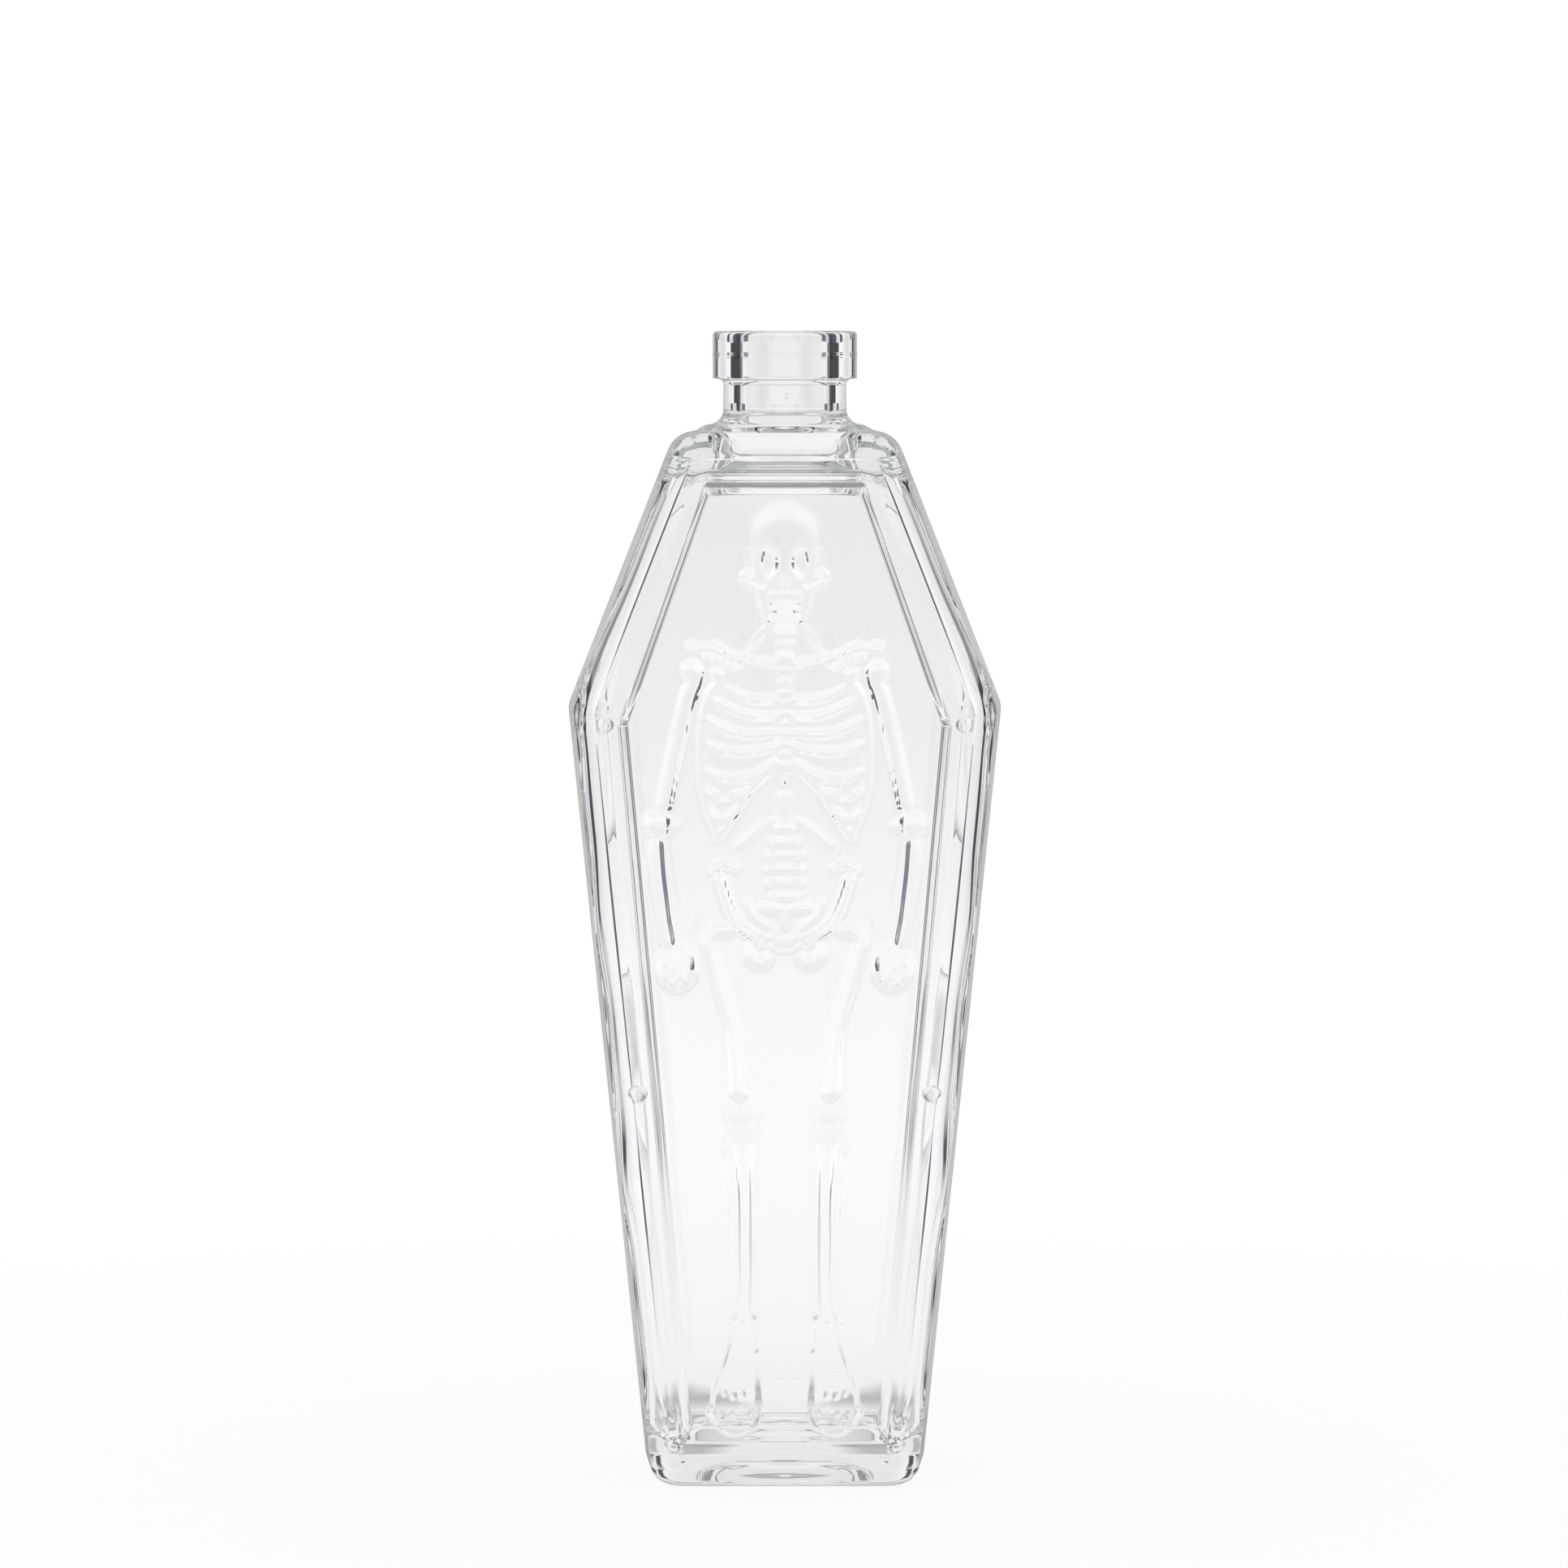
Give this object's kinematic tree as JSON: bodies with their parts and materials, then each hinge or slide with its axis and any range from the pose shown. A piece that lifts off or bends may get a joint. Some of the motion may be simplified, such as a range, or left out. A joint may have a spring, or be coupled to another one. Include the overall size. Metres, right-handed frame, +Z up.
{
  "type": "poison bottle",
  "caption": "Clear glass poison bottle shaped like a coffin, with a sunk front panel, a skeleton in relief, domed nail heads, a short neck and an open corked mouth.",
  "frame": {"origin": "on the table, under the middle of the bottle's overall box", "axes": "+Z up along the bottle, -Y towards the viewer of the skeleton, +X to that viewer's right"},
  "size_m": [0.089, 0.0492, 0.2356],
  "materials": {
    "clear_glass": "polished"
  },
  "bodies": {
    "root": {"bottle": "clear_glass", "nail_heads": "clear_glass", "skull": "clear_glass", "spine": "clear_glass", "rib_cage": "clear_glass", "pelvis": "clear_glass", "left_arm": "clear_glass", "right_arm": "clear_glass", "left_leg": "clear_glass", "right_leg": "clear_glass"}
  },
  "joints": []
}
